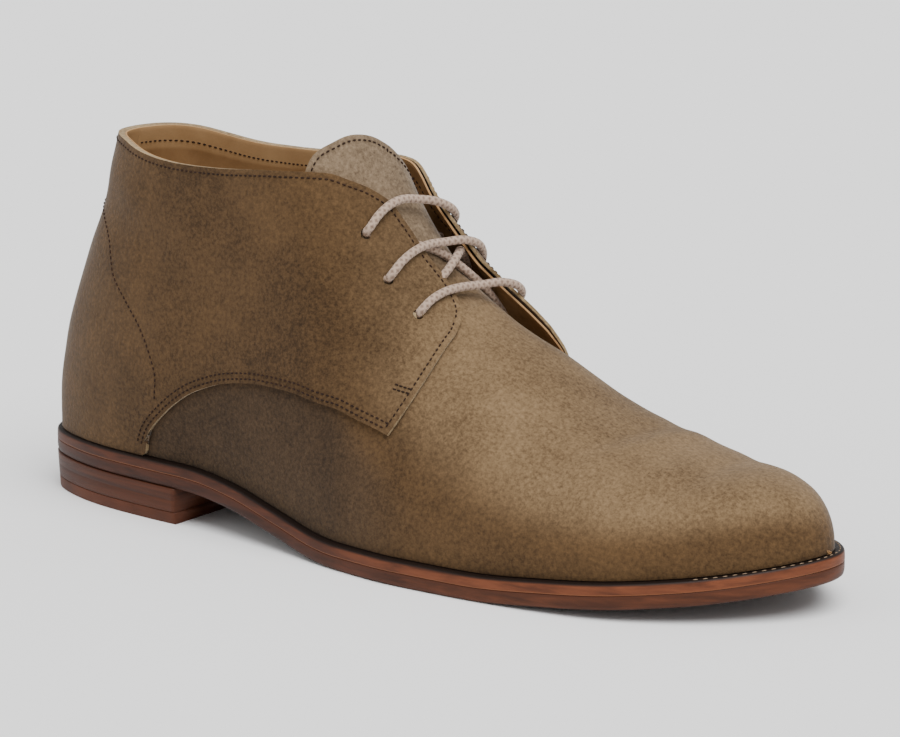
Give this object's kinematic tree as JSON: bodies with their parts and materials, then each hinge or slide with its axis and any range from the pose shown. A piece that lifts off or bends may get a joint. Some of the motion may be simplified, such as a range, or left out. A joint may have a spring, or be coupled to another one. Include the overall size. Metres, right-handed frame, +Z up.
{
  "type": "chukka boot",
  "caption": "Ankle-high suede chukka boot for the right foot, with open-lacing quarters, a tongue, a leather sole and a low stacked heel.",
  "frame": {"origin": "middle of the boot's bounding box, on the plane that it stands on", "axes": "+X from heel to toe, +Y to the inner (medial) side, +Z up"},
  "size_m": [0.3048, 0.1032, 0.1345],
  "materials": {
    "suede": "matte",
    "tongue_suede": "matte",
    "sole_leather": "satin",
    "heel_leather": "satin",
    "heel_rubber": "matte",
    "lining": "satin",
    "lace_cord": "matte"
  },
  "bodies": {
    "root": {"outsole": "sole_leather", "welt": "sole_leather", "heel_stack": "heel_leather", "heel_tip": "heel_rubber", "upper": "suede", "tongue": "tongue_suede", "insole": "lining", "lace_bar_top": "lace_cord", "lace_bar_middle": "lace_cord", "lace_bar_bottom": "lace_cord", "lace_crossing": "lace_cord"}
  },
  "joints": []
}
